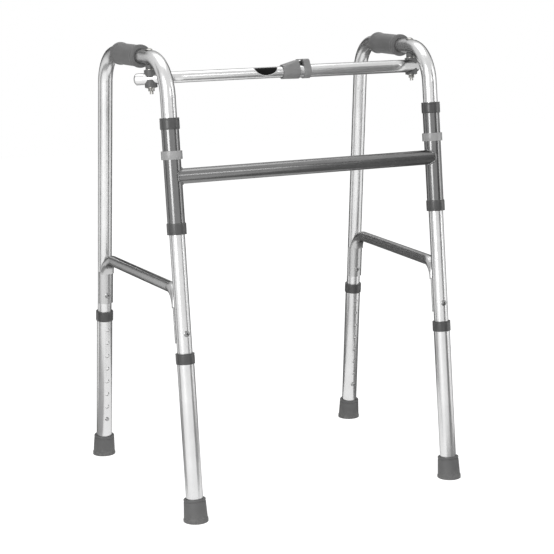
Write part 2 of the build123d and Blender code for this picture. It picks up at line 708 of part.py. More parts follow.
# front frame
save("front_crossbar", front_crossbar())
for side in SIDES:
    save(f"sleeve_{side}", on_front(sleeve(side), side))
    save(f"sleeve_bush_upper_{side}", on_front(sleeve_bush(True), side))
    save(f"sleeve_bush_lower_{side}", on_front(sleeve_bush(False), side))

# side frames
tube, grip, brace, rivets = side_tube(), handgrip(), side_brace(), brace_rivets()
for side in SIDES:
    save(f"side_tube_{side}", on_side(tube, side))
    save(f"handgrip_{side}", on_side(grip, side))
    save(f"side_brace_{side}", on_side(brace, side))
    save(f"brace_rivets_{side}", on_side(rivets, side))
    save(f"retainer_clip_{side}", on_side(FRONT_LEG.location * retainer_clip(), side))
    save(f"pivot_boss_{side}", on_side(pivot_boss(), side))
save("pivot_bolt_left", on_side(bolt(-bolt_tip), "left"))
save("pivot_bolt_right", on_side(bolt(boss_bottom), "right"))

# telescopic legs
for side in SIDES:
    for name, leg in LEGS.items():
        place = f"{name}_{side}"
        save(f"lower_leg_{place}", on_side(leg.location * lower_leg(), side))
        save(f"leg_collar_{place}", on_side(leg.location * leg_collar(), side))
        save(f"ferrule_{place}", level_cut(on_side(ferrule(leg), side)))
        disc = ring(lower_r - FIXED_GAP, 0, FERRULE_FLOOR, FERRULE_FLOOR + DISC_THICK)
        save(f"ferrule_disc_{place}", on_side(leg.location * disc, side))
        save(f"leg_button_{place}", on_side(leg.location * leg_button(), side))
        save(f"leg_button_spring_{place}", on_side(leg.location * leg_button_spring(), side))

# top bar
inner = top_bar(-1, inner_bar_r, INNER_BAR_WALL, BAR_INNER_END, BAR_INNER_TAIL)
outer = top_bar(1, outer_bar_r, OUTER_BAR_WALL, BAR_OUTER_END, BAR_OUTER_TAIL)
save("bar_inner", BAR.location * (inner - latch_button_hole(inner_bar_r)))
save("bar_outer", BAR.location * (outer - latch_button_hole(outer_bar_r)))
cap_left = bar_end_cap(-1, inner_bar_r, INNER_BAR_WALL, BAR_INNER_TAIL)
cap_right = bar_end_cap(1, outer_bar_r, OUTER_BAR_WALL, BAR_OUTER_TAIL)
save("bar_end_cap_left", BAR.location * cap_left)
save("bar_end_cap_right", BAR.location * cap_right)
save("latch_ring", BAR.location * latch_ring())
save("latch_collar", BAR.location * latch_collar())
save("latch_button", BAR.location * latch_button())
save("latch_button_spring", BAR.location * latch_button_spring())
for side in SIDES:
    save(f"pivot_saddles_{side}", pivot_saddles(side))
    save(f"pivot_washers_{side}", pivot_washers(side))
    save(f"pivot_nut_{side}", pivot_nut(side))
save("pivot_shank_right", pivot_shank_right())
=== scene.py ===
import json
import math
import bmesh
import bpy
from mathutils import Matrix, Vector


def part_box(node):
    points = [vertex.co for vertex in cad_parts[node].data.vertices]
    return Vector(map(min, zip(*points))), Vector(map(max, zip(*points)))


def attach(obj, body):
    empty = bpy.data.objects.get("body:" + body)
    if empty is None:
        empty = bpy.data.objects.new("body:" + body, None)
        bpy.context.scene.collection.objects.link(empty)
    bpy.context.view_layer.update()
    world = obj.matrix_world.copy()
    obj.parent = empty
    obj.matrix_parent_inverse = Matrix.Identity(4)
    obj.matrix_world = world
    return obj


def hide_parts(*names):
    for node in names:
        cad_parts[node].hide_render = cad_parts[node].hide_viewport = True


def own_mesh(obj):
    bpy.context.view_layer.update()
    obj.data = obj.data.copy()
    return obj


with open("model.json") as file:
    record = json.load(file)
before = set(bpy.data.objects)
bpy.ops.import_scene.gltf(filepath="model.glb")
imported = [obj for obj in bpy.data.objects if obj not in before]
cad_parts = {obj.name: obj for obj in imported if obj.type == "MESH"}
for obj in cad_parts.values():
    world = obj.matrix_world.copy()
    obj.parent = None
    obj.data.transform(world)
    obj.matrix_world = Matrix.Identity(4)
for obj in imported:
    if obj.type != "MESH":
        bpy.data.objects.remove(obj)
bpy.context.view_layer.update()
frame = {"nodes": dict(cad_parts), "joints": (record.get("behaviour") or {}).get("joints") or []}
print("frame loaded with", len(frame["nodes"]), "nodes")

mm = 0.001
sides = {"left": -1, "right": 1}
legNames = [end + "_" + side for side in sides for end in ("front", "rear")]


def jointCalled(name):
    return next(joint for joint in frame["joints"] if joint["name"] == name)


def boxCentre(node):
    low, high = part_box(node)
    return (low + high) / 2


def placing(origin, up, across):
    # a matrix whose Z runs along up and whose X points the way of across
    z = up.normalized()
    y = z.cross(across).normalized()
    x = y.cross(z)
    turn = Matrix((x, y, z)).transposed().to_4x4()
    return Matrix.Translation(origin) @ turn


def legPlacing(place):
    # on the leg's axis where it meets the floor, X towards the other leg of the same side
    end, side = place.split("_")
    partner = ("rear_" if end == "front" else "front_") + side
    low = boxCentre("ferrule_disc_" + place)
    high = boxCentre("leg_collar_" + place)
    up = (high - low).normalized()
    across = boxCentre("leg_collar_" + partner) - high
    return placing(low - up * (low.z / up.z), up, across)


foldUp = -Vector(jointCalled("fold_left")["axis"])
lean = math.asin(foldUp.y)
# the bar's own axis runs through the middle of the plain outer tube, at the height of the pivots
pivotAt = Vector(jointCalled("bar_pivot")["pos_m"])
barBack = foldUp.cross(Vector((1, 0, 0)))
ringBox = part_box("latch_ring")
innerRadius = 9.525 * mm  # the bar's thin tube is three quarters of an inch across
latchRadius = (ringBox[1].y - ringBox[0].y) / 2
barMiddle = pivotAt + barBack * ((ringBox[0].y + latchRadius - pivotAt.y) / barBack.y)
barMiddle.x = 0
barPlacing = placing(barMiddle, foldUp, Vector((1, 0, 0)))


def railDirection(side):
    rearUp = legPlacing("rear_" + side).to_3x3() @ Vector((0, 0, 1))
    across = foldUp.cross(rearUp).normalized()
    return Matrix.Rotation(lean - math.pi / 2, 3, across) @ foldUp


weld = 0.00001  # metres; points closer than this become one
flatAngle = math.radians(0.4)  # facets of a CAD face that lean less than this are merged
lathe = {"steps": 72, "roundSegments": 4}


def turned(outline):
    # a closed outline of (radius, height, rounding) in millimetres, spun about Z
    bm = bmesh.new()
    ring = [bm.verts.new((r * mm, 0, z * mm)) for r, z, _ in outline]
    for start, end in zip(ring, ring[1:] + ring[:1]):
        bm.edges.new((start, end))
    soft = [(v, point[2]) for v, point in zip(ring, outline)]
    for size in sorted({size for _, size in soft if size}):
        corners = [v for v, wanted in soft if wanted == size]
        bmesh.ops.bevel(
            bm, geom=corners, offset=size * mm, offset_type="OFFSET", affect="VERTICES",
            segments=lathe["roundSegments"], profile=0.5, material=-1,
        )
    bmesh.ops.spin(
        bm, geom=bm.verts[:] + bm.edges[:], cent=(0, 0, 0), axis=(0, 0, 1), dvec=(0, 0, 0),
        angle=math.tau, steps=lathe["steps"], use_merge=True, use_duplicate=False,
    )
    bmesh.ops.remove_doubles(bm, verts=bm.verts, dist=weld)
    return bm


def finishPiece(bm, name, material, body, placed=None, creaseAngle=38):
    if placed is not None:
        bm.transform(placed)
    bmesh.ops.remove_doubles(bm, verts=bm.verts, dist=weld)
    bmesh.ops.recalc_face_normals(bm, faces=bm.faces)
    for face in bm.faces:
        face.smooth = True
    for edge in bm.edges:
        joined = len(edge.link_faces) == 2
        edge.smooth = joined and edge.calc_face_angle(0) < math.radians(creaseAngle)
    mesh = bpy.data.meshes.new(name)
    bm.to_mesh(mesh)
    bm.free()
    mesh.materials.append(material)
    piece = bpy.data.objects.new(name, mesh)
    bpy.context.scene.collection.objects.link(piece)
    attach(piece, body)
    return piece


def copyOf(node):
    bm = bmesh.new()
    bm.from_mesh(frame["nodes"][node].data)
    bmesh.ops.remove_doubles(bm, verts=bm.verts, dist=weld)
    bmesh.ops.dissolve_limit(
        bm, angle_limit=flatAngle, verts=bm.verts, edges=bm.edges, use_dissolve_boundaries=False
    )
    return bm


rounding = {"segments": 2, "sharpAngle": 32}


def softened(node, width):
    # the same shape with its sharp edges rounded
    bm = copyOf(node)
    sharp = math.radians(rounding["sharpAngle"])
    edges = [e for e in bm.edges if len(e.link_faces) == 2 and e.calc_face_angle(0) > sharp]
    bmesh.ops.bevel(
        bm, geom=edges, offset=width * mm, offset_type="OFFSET", affect="EDGES",
        segments=rounding["segments"], profile=0.5, clamp_overlap=True, material=-1,
    )
    return bm


def newGroup(name, inputs, outputs):
    tree = bpy.data.node_groups.new(name, "ShaderNodeTree")
    for socket, kind, value in inputs:
        made = tree.interface.new_socket(socket, in_out="INPUT", socket_type="NodeSocket" + kind)
        if value is not None:
            made.default_value = value
    for socket, kind in outputs:
        tree.interface.new_socket(socket, in_out="OUTPUT", socket_type="NodeSocket" + kind)
    return tree, tree.nodes.new("NodeGroupInput"), tree.nodes.new("NodeGroupOutput")


def addNode(tree, kind, settings=None, values=None):
    made = tree.nodes.new("ShaderNode" + kind)
    for name, value in (settings or {}).items():
        setattr(made, name, value)
    for name, value in (values or {}).items():
        made.inputs[name].default_value = value
    return made


def noise(tree, vector, scale, detail, roughness=0.5, distortion=0.0):
    values = {"Scale": scale, "Detail": detail, "Roughness": roughness, "Distortion": distortion}
    made = addNode(tree, "TexNoise", values=values)
    tree.links.new(vector, made.inputs["Vector"])
    return made


def remap(tree, source, fromLow, fromHigh, toLow, toHigh):
    values = {"From Min": fromLow, "From Max": fromHigh, "To Min": toLow, "To Max": toHigh}
    made = addNode(tree, "MapRange", values=values)
    tree.links.new(source, made.inputs["Value"])
    return made.outputs["Result"]


def maths(tree, operation, first, second):
    made = addNode(tree, "Math", {"operation": operation})
    for socket, value in zip(made.inputs, (first, second)):
        if isinstance(value, (int, float)):
            socket.default_value = value
        else:
            tree.links.new(value, socket)
    return made.outputs[0]


drawn = {
    "squeeze": 0.012, "streakDetail": 4.0, "streakRough": 0.65,
    "cloudDetail": 5.0, "cloudRough": 0.6,
}


def buildDrawnGroup():
    # long fine streaks along Z, as a tube has from the drawing die, and cloudy handling marks
    tree, come, go = newGroup(
        "drawnStreaks",
        [("Vector", "Vector", None), ("Density", "Float", 1600.0), ("Cloud Scale", "Float", 16.0)],
        [("Streak", "Float"), ("Cloud", "Float")],
    )
    squeeze = addNode(tree, "Mapping", values={"Scale": (1.0, 1.0, drawn["squeeze"])})
    tree.links.new(come.outputs["Vector"], squeeze.inputs["Vector"])
    streak = noise(tree, squeeze.outputs[0], 1.0, drawn["streakDetail"], drawn["streakRough"])
    tree.links.new(come.outputs["Density"], streak.inputs["Scale"])
    cloud = noise(tree, come.outputs["Vector"], 1.0, drawn["cloudDetail"], drawn["cloudRough"])
    tree.links.new(come.outputs["Cloud Scale"], cloud.inputs["Scale"])
    tree.links.new(streak.outputs["Fac"], go.inputs["Streak"])
    tree.links.new(cloud.outputs["Fac"], go.inputs["Cloud"])
    return tree


scratch = {
    "squeeze": 0.1, "detail": 1.5, "rough": 0.4, "distortion": 0.6,
    "patchScale": 9.0, "patchDetail": 2.0, "patch": (0.5, 0.62),
}


def buildScratchGroup():
    # thin hairlines along Z where a noise field crosses its middle value
    tree, come, go = newGroup(
        "hairScratches",
        [("Vector", "Vector", None), ("Scale", "Float", 40.0), ("Width", "Float", 0.006)],
        [("Mask", "Float")],
    )
    stretch = addNode(tree, "Mapping", values={"Scale": (1.0, 1.0, scratch["squeeze"])})
    tree.links.new(come.outputs["Vector"], stretch.inputs["Vector"])
    field = noise(
        tree, stretch.outputs[0], 1.0, scratch["detail"], scratch["rough"], scratch["distortion"]
    )
    tree.links.new(come.outputs["Scale"], field.inputs["Scale"])
    off = maths(tree, "ABSOLUTE", maths(tree, "SUBTRACT", field.outputs["Fac"], 0.5), 0.0)
    line = maths(tree, "LESS_THAN", off, come.outputs["Width"])
    patch = noise(tree, come.outputs["Vector"], scratch["patchScale"], scratch["patchDetail"])
    some = remap(tree, patch.outputs["Fac"], *scratch["patch"], 0.0, 1.0)
    tree.links.new(maths(tree, "MULTIPLY", line, some), go.inputs["Mask"])
    return tree


pebble = {
    "smooth": 0.7, "fineScale": 2600.0, "fineDetail": 2.0, "fineShare": 0.35,
    "toneScale": 28.0, "toneDetail": 4.0, "toneRough": 0.55,
}


def buildMouldGroup():
    # pebbled skin of moulded rubber and plastic, with a slow change of tone
    tree, come, go = newGroup(
        "mouldedSkin",
        [("Vector", "Vector", None), ("Grain Scale", "Float", 1400.0)],
        [("Height", "Float"), ("Tone", "Float")],
    )
    cells = addNode(tree, "TexVoronoi", {"feature": "SMOOTH_F1"}, {"Smoothness": pebble["smooth"]})
    tree.links.new(come.outputs["Vector"], cells.inputs["Vector"])
    tree.links.new(come.outputs["Grain Scale"], cells.inputs["Scale"])
    fine = noise(tree, come.outputs["Vector"], pebble["fineScale"], pebble["fineDetail"])
    grain = maths(tree, "MULTIPLY", fine.outputs["Fac"], pebble["fineShare"])
    height = maths(tree, "ADD", cells.outputs["Distance"], grain)
    tone = noise(
        tree, come.outputs["Vector"], pebble["toneScale"], pebble["toneDetail"], pebble["toneRough"]
    )
    tree.links.new(height, go.inputs["Height"])
    tree.links.new(tone.outputs["Fac"], go.inputs["Tone"])
    return tree


drawnGroup = buildDrawnGroup()
scratchGroup = buildScratchGroup()
mouldGroup = buildMouldGroup()
print("shader groups built")


def startMaterial(name, shaderValues):
    material = bpy.data.materials.new(name)
    material.use_nodes = True
    tree = material.node_tree
    shader = tree.nodes["Principled BSDF"]
    for socket, value in shaderValues.items():
        shader.inputs[socket].default_value = value
    coords = tree.nodes.new("ShaderNodeTexCoord")
    return material, tree, shader, coords.outputs["Object"]


def useGroup(tree, group, vector, values):
    made = tree.nodes.new("ShaderNodeGroup")
    made.node_tree = group
    for socket, value in values.items():
        made.inputs[socket].default_value = value
    tree.links.new(vector, made.inputs["Vector"])
    return made


def blendColours(tree, mask, under, over):
    # a colour Mix has its two colours at inputs 6 and 7; each is three numbers or a socket
    made = addNode(tree, "Mix", {"data_type": "RGBA"})
    for socket, colour in ((made.inputs[6], under), (made.inputs[7], over)):
        if isinstance(colour, tuple):
            socket.default_value = (*colour, 1)
        else:
            tree.links.new(colour, socket)
    tree.links.new(mask, made.inputs[0])
    return made.outputs[2]


def bumped(tree, shader, height, distance):
    bump = addNode(tree, "Bump", values={"Distance": distance, "Strength": 1.0})
    tree.links.new(height, bump.inputs["Height"])
    tree.links.new(bump.outputs["Normal"], shader.inputs["Normal"])


tubeSkin = {
    "tone": (0.3, 0.7), "streakShare": 0.6, "cloudShare": 0.4, "mottle": (0.32, 0.68),
    "scratchRough": 0.09, "coatRough": 0.17,
}


def metalTube(name, look):
    values = {"Metallic": look["metallic"], "Specular Tint": (*look["edge"], 1)}
    if look.get("coat"):
        values.update({"Coat Weight": look["coat"], "Coat Roughness": tubeSkin["coatRough"]})
    material, tree, shader, vector = startMaterial(name, values)
    turn = addNode(tree, "Mapping", values={"Rotation": look["turn"]})
    tree.links.new(vector, turn.inputs["Vector"])
    streaks = useGroup(tree, drawnGroup, turn.outputs[0], {"Density": look["density"]})
    lines = useGroup(tree, scratchGroup, turn.outputs[0], {"Scale": look["scratchScale"]})
    tone = remap(tree, streaks.outputs["Cloud"], *tubeSkin["tone"], 0.0, 1.0)
    colour = blendColours(tree, tone, look["dark"], look["light"])
    tree.links.new(colour, shader.inputs["Base Color"])
    low, high = look["roughness"]
    mottle = maths(
        tree, "ADD",
        maths(tree, "MULTIPLY", streaks.outputs["Streak"], tubeSkin["streakShare"]),
        maths(tree, "MULTIPLY", streaks.outputs["Cloud"], tubeSkin["cloudShare"]),
    )
    rough = remap(tree, mottle, *tubeSkin["mottle"], low, high)
    scuffed = maths(tree, "MULTIPLY", lines.outputs["Mask"], tubeSkin["scratchRough"])
    rough = maths(tree, "ADD", rough, scuffed)
    tree.links.new(rough, shader.inputs["Roughness"])
    bumped(tree, shader, streaks.outputs["Streak"], look["bump"])
    return material


mouldSkin = {
    "tone": (0.3, 0.7), "mottle": (0.25, 0.75),
    "scratchScale": 70.0, "scratchWidth": 0.004, "scratchRough": 0.15,
    "specular": 0.5, "sheenRough": 0.5, "coatRough": 0.2,
}
dust = {"scale": 220.0, "detail": 5.0, "rough": 0.7, "speck": (0.45, 0.7), "most": 0.6}


def moulded(name, look):
    values = {"Metallic": 0.0, "Specular IOR Level": look.get("specular", mouldSkin["specular"])}
    if look.get("sheen"):
        values.update({"Sheen Weight": look["sheen"], "Sheen Roughness": mouldSkin["sheenRough"]})
    if look.get("coat"):
        values.update({"Coat Weight": look["coat"], "Coat Roughness": mouldSkin["coatRough"]})
    material, tree, shader, vector = startMaterial(name, values)
    skin = useGroup(tree, mouldGroup, vector, {"Grain Scale": look["grain"]})
    marks = {"Scale": mouldSkin["scratchScale"], "Width": mouldSkin["scratchWidth"]}
    lines = useGroup(tree, scratchGroup, vector, marks)
    tone = remap(tree, skin.outputs["Tone"], *mouldSkin["tone"], 0.0, 1.0)
    colour = blendColours(tree, tone, look["dark"], look["light"])
    if look.get("dust"):
        # pale scuffs that thin out above the floor
        parts = addNode(tree, "SeparateXYZ")
        tree.links.new(vector, parts.inputs[0])
        near = remap(tree, parts.outputs["Z"], 0.0, look["dust"], 1.0, 0.0)
        speck = noise(tree, vector, dust["scale"], dust["detail"], dust["rough"])
        specks = remap(tree, speck.outputs["Fac"], *dust["speck"], 0.0, dust["most"])
        worn = maths(tree, "MULTIPLY", near, specks)
        colour = blendColours(tree, worn, colour, look["dustColour"])
    tree.links.new(colour, shader.inputs["Base Color"])
    low, high = look["roughness"]
    rough = remap(tree, skin.outputs["Tone"], *mouldSkin["mottle"], low, high)
    scuffed = maths(tree, "MULTIPLY", lines.outputs["Mask"], mouldSkin["scratchRough"])
    rough = maths(tree, "ADD", rough, scuffed)
    tree.links.new(rough, shader.inputs["Roughness"])
    bumped(tree, shader, skin.outputs["Height"], look["bump"])
    return material


def grey(level):
    return (level, level, level)


# turns that lay a pattern's Z along the tube
alongX = (0.0, math.pi / 2, 0.0)
upright = (0.0, 0.0, 0.0)
satin = {
    "metallic": 1.0, "edge": grey(0.34), "turn": upright, "density": 1400.0,
    "dark": grey(0.62), "light": grey(0.71), "roughness": (0.21, 0.31), "bump": 0.0000025,
    "scratchScale": 22.0,
}
bright = {
    "metallic": 1.0, "edge": grey(0.34), "density": 1900.0,
    "dark": grey(0.6), "light": grey(0.69), "roughness": (0.2, 0.29), "bump": 0.0000025,
    "scratchScale": 26.0,
}
steel = {
    "metallic": 0.9, "edge": grey(0.5), "coat": 0.6, "density": 900.0,
    "dark": grey(0.16), "light": grey(0.2), "roughness": (0.17, 0.24), "bump": 0.000002,
    "scratchScale": 18.0,
}
fitting = {"metallic": 1.0, "turn": upright, "density": 700.0, "scratchScale": 60.0}
tubeLooks = {
    "satinTube": satin,
    "braceTube": {**satin, "dark": grey(0.44), "light": grey(0.52), "roughness": (0.22, 0.31)},
    "brightTubeUp": {**bright, "turn": upright},
    "brightTubeAcross": {**bright, "turn": alongX},
    "darkTubeUp": {**steel, "turn": upright},
    "darkTubeAcross": {**steel, "turn": alongX},
    "zincPlate": {
        **fitting, "edge": grey(0.4), "dark": (0.3, 0.295, 0.28), "light": (0.44, 0.435, 0.42),
        "roughness": (0.2, 0.36), "bump": 0.000015,
    },
    "rivetHead": {
        **fitting, "edge": grey(0.35), "dark": grey(0.2), "light": grey(0.3),
        "roughness": (0.22, 0.34), "bump": 0.000012,
    },
    "springPlate": {
        **fitting, "edge": grey(0.5), "dark": (0.36, 0.36, 0.37), "light": (0.46, 0.46, 0.47),
        "roughness": (0.3, 0.42), "bump": 0.00001,
    },
    "polishedPin": {
        **fitting, "edge": grey(0.6), "dark": grey(0.3), "light": grey(0.42),
        "roughness": (0.14, 0.24), "bump": 0.000006,
    },
}
mouldLooks = {
    "gripVinyl": {
        "dark": grey(0.12), "light": grey(0.155), "roughness": (0.5, 0.62), "grain": 1100.0,
        "bump": 0.00005, "sheen": 0.15,
    },
    "footRubber": {
        "dark": grey(0.12), "light": grey(0.155), "roughness": (0.5, 0.64), "grain": 900.0,
        "bump": 0.00005, "dust": 0.02, "dustColour": (0.28, 0.275, 0.26),
    },
    "darkNylon": {
        "dark": grey(0.05), "light": grey(0.07), "roughness": (0.3, 0.4), "grain": 1500.0,
        "bump": 0.00002, "coat": 0.25,
    },
    "clipNylon": {
        "dark": grey(0.33), "light": grey(0.41), "roughness": (0.28, 0.38), "grain": 1500.0,
        "bump": 0.00002, "coat": 0.3,
    },
    "latchNylon": {
        "dark": grey(0.2), "light": grey(0.25), "roughness": (0.32, 0.44), "grain": 1500.0,
        "bump": 0.00002, "coat": 0.2,
    },
    "buttonBlack": {
        "dark": grey(0.012), "light": grey(0.018), "roughness": (0.3, 0.42), "grain": 1800.0,
        "bump": 0.00001,
    },
    "saddleNylon": {
        "dark": grey(0.095), "light": grey(0.125), "roughness": (0.4, 0.55), "grain": 1500.0,
        "bump": 0.000025,
    },
}
finishes = {name: metalTube(name, look) for name, look in tubeLooks.items()}
finishes.update({name: moulded(name, look) for name, look in mouldLooks.items()})
print("materials built:", len(finishes))

slotFinish = {
    "satin_aluminium": "satinTube",
    "dark_steel": "darkTubeUp",
    "dark_plastic": "darkNylon",
    "grey_plastic": "clipNylon",
    "latch_plastic": "latchNylon",
    "black_plastic": "buttonBlack",
    "grip_rubber": "gripVinyl",
    "foot_rubber": "footRubber",
    "saddle_plastic": "saddleNylon",
    "spring_steel": "springPlate",
    "bright_steel": "polishedPin",
    "zinc_steel": "zincPlate",
    "bright_aluminium": "brightTubeUp",
}
nodeFinish = {
    "side_brace_left": "braceTube",
    "side_brace_right": "braceTube",
    "brace_rivets_left": "rivetHead",
    "brace_rivets_right": "rivetHead",
    "front_crossbar": "darkTubeAcross",
    "bar_inner": "brightTubeAcross",
    "bar_outer": "brightTubeAcross",
}
for nodeName, node in frame["nodes"].items():
    slotName = node.material_slots[0].material.name
    node.material_slots[0].material = finishes[nodeFinish.get(nodeName, slotFinish[slotName])]


# the sizes of the pieces from here on are in millimetres
grip = {
    "radius": 18.0, "ringRadius": 19.5, "bore": 12.75, "ringLong": 7.0, "shoulder": 10.5,
    "groove": 0.45, "grooveFrom": 0.5, "grooveTo": 1.3, "crown": 0.25,
    "boreRound": 0.6, "endRound": 2.2, "ringRound": 1.2, "grooveRound": 0.3,
    "shoulderRound": 2.5, "crownRound": 12.0,
}


def buildGrip(side):
    node = "handgrip_" + side
    low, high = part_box(node)
    along = railDirection(side)
    length = (high.y - low.y) / along.y / mm - 2 * grip["ringRadius"] * abs(along.x)
    half = length / 2
    body, ring, bore = grip["radius"], grip["ringRadius"], grip["bore"]
    ringEnd, shoulder = half - grip["ringLong"], half - grip["shoulder"]
    grooved = ring - grip["groove"]
    outline = [
        (bore, -half, grip["boreRound"]),
        (ring, -half, grip["endRound"]),
        (ring, -ringEnd, grip["ringRound"]),
        (grooved, -ringEnd + grip["grooveFrom"], grip["grooveRound"]),
        (grooved, -ringEnd + grip["grooveTo"], grip["grooveRound"]),
        (body, -shoulder, grip["shoulderRound"]),
        (body + grip["crown"], 0, grip["crownRound"]),
        (body, shoulder, grip["shoulderRound"]),
        (ring, ringEnd, grip["shoulderRound"]),
        (ring, half, grip["endRound"]),
        (bore, half, grip["boreRound"]),
    ]
    bm = turned(outline)
    placed = placing(boxCentre(node), along, Vector((0, 0, 1)))
    vinyl = finishes["gripVinyl"]
    piece = finishPiece(bm, "grip_" + side, vinyl, side + "_side", placed)
    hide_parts(node)


for side in sides:
    buildGrip(side)
print("grips made")


foot = {
    "height": 38.0, "lip": 18.5, "base": 21.0, "bore": 14.35, "floor": 9.0, "sink": 12.0,
    "groove": 0.9, "grooveDown": 3.0, "grooveWide": 1.5, "grooveSlope": 0.4, "overGroove": 0.2,
    "edge": 4.5, "edgeStep": 1.0, "edgeRise": 1.6, "taperShort": 2.0,
    "edgeRound": 1.8, "waistRound": 1.0, "underRound": 0.5, "grooveRound": 0.2,
    "overRound": 0.3, "lipRound": 1.3, "boreRound": 0.5,
    "treads": 3, "treadWide": 1.7, "treadDeep": 1.2, "treadSide": 0.25,
    "rimWide": 2.6, "ribWide": 2.0,
}


def buildFoot(place):
    top, lip, base = foot["height"], foot["lip"], foot["base"]
    waist = base - foot["edgeStep"]
    slope = (waist - lip) / (top - foot["edge"] - foot["taperShort"])
    grooveTop = top - foot["grooveDown"]
    grooveLow = grooveTop - foot["grooveWide"]
    atTop = lip + slope * foot["grooveDown"]
    grooved = atTop - foot["groove"]
    outline = [
        (0, -foot["sink"], 0),
        (base, -foot["sink"], 0),
        (base, foot["edge"], foot["edgeRound"]),
        (waist, foot["edge"] + foot["edgeRise"], foot["waistRound"]),
        (atTop, grooveLow - foot["grooveSlope"], foot["underRound"]),
        (grooved, grooveLow, foot["grooveRound"]),
        (grooved, grooveTop, foot["grooveRound"]),
        (lip + foot["overGroove"], grooveTop + foot["grooveSlope"], foot["overRound"]),
        (lip, top, foot["lipRound"]),
        (foot["bore"], top, foot["boreRound"]),
        (foot["bore"], foot["floor"], 0),
        (0, foot["floor"], 0),
    ]
    bm = turned(outline)
    bm.transform(legPlacing(place))
    bmesh.ops.recalc_face_normals(bm, faces=bm.faces)
    # the leg leans, so the floor's plane cuts the sole level
    bmesh.ops.bisect_plane(
        bm, geom=bm.verts[:] + bm.edges[:] + bm.faces[:], dist=weld, plane_co=(0, 0, 0),
        plane_no=(0, 0, 1), clear_inner=True,
    )
    rim = [edge for edge in bm.edges if edge.is_boundary]
    sole = bmesh.ops.contextual_create(bm, geom=rim)["faces"]
    bmesh.ops.recalc_face_normals(bm, faces=bm.faces)
    flank, deep = foot["treadSide"], foot["treadDeep"]
    for tread in range(foot["treads"]):
        land = foot["ribWide"] if tread else foot["rimWide"]
        for wide, depth in ((land, 0), (flank, -deep), (foot["treadWide"], 0), (flank, deep)):
            bmesh.ops.inset_region(bm, faces=sole, thickness=wide * mm, depth=depth * mm)
    rubber = finishes["footRubber"]
    piece = finishPiece(bm, "foot_" + place, rubber, "leg_" + place)
    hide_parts("ferrule_" + place)


for place in legNames:
    buildFoot(place)
print("feet made")


collar = {"radius": 15.9, "height": 18.0, "lip": 2.6, "seat": 14.35, "bore": 12.8}
bush = {
    "radius": 16.2, "height": 18.8, "lip": 3.0, "seat": 14.65, "bore": 12.8, "inside": 13.35,
    "insert": 14.0,
}
# what both kinds share; the groove's four corners are given down from the top
ringShape = {
    "groove": 0.3, "grooveDown": (3.8, 3.4, 2.8, 2.4), "hem": 0.3, "hemLong": 2.2,
    "seatRound": 0.2, "hemRound": 0.6, "sideRound": 0.8, "rimRound": 0.4, "grooveRound": 0.15,
    "topRound": 0.7, "boreRound": 0.25,
}


def collarOutline(ring):
    # the lip is at the top; a bush also has a thin insert that hangs below it
    radius, seat, bore, height = ring["radius"], ring["seat"], ring["bore"], ring["height"]
    grooved, under = radius - ringShape["groove"], height - ring["lip"]
    first, second, third, last = (height - down for down in ringShape["grooveDown"])
    outline = [
        (seat, 0, ringShape["seatRound"]),
        (radius - ringShape["hem"], 0, ringShape["hemRound"]),
        (radius, ringShape["hemLong"], ringShape["sideRound"]),
        (radius, first, ringShape["rimRound"]),
        (grooved, second, ringShape["grooveRound"]),
        (grooved, third, ringShape["grooveRound"]),
        (radius, last, ringShape["rimRound"]),
        (radius, height, ringShape["topRound"]),
        (bore, height, ringShape["boreRound"]),
    ]
    if "insert" in ring:
        end = under - ring["insert"]
        outline += [(bore, end, 0), (ring["inside"], end, 0), (ring["inside"], under, 0)]
    else:
        outline += [(bore, under, 0)]
    return outline + [(seat, under, 0)]


def buildRing(ring, name, node, body, placed):
    # placed has its origin in the middle of the ring
    bm = turned(collarOutline(ring))
    placed = placed @ Matrix.Translation((0, 0, -ring["height"] / 2 * mm))
    piece = finishPiece(bm, name, finishes["darkNylon"], body, placed)
    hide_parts(node)


for place in legNames:
    node = "leg_collar_" + place
    placed = legPlacing(place)
    placed.translation = boxCentre(node)
    buildRing(collar, "collar_" + place, node, "leg_" + place, placed)

for side in sides:
    for place, way in (("upper", 1), ("lower", -1)):
        node = f"sleeve_bush_{place}_{side}"
        placed = placing(boxCentre(node), foldUp * way, Vector((way, 0, 0)))
        buildRing(bush, f"bush_{place}_{side}", node, "front_frame", placed)
print("collars and bushes made")


# finish, body, slot and the width of the rounded edges
softParts = {
    "latch_ring": ("latchNylon", "bar_right", "latch_plastic", 0.5),
    "latch_collar": ("latchNylon", "latch_collar", "latch_plastic", 0.45),
}
for side in sides:
    nutBody = "left_side" if side == "left" else "bar_right"
    softParts["retainer_clip_" + side] = ("clipNylon", side + "_side", "grey_plastic", 0.6)
    softParts["pivot_nut_" + side] = ("zincPlate", nutBody, "zinc_steel", 0.3)
for node, (finish, body, slotName, width) in softParts.items():
    bm = softened(node, width)
    piece = finishPiece(bm, node + "_soft", finishes[finish], body)
    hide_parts(node)
print("softened parts made")


bead = {
    "radius": 1.7, "ripples": 26, "ripple": 0.16, "points": 208, "sleeve": 14.6, "bar": 12.7,
    "forward": 3.0, "leastReach": 3.2, "resolution": 4, "crease": 60,
}


def beadPoint(turn, side):
    # where the crossbar's surface meets the sleeve's, from the sleeve's axis
    forward = -bead["forward"] + bead["bar"] * math.cos(turn)
    reach = math.sqrt(max(bead["sleeve"] ** 2 - forward ** 2, bead["leastReach"] ** 2))
    height = bead["bar"] * math.sin(turn)
    return Vector((-side * reach, forward, height)) * mm


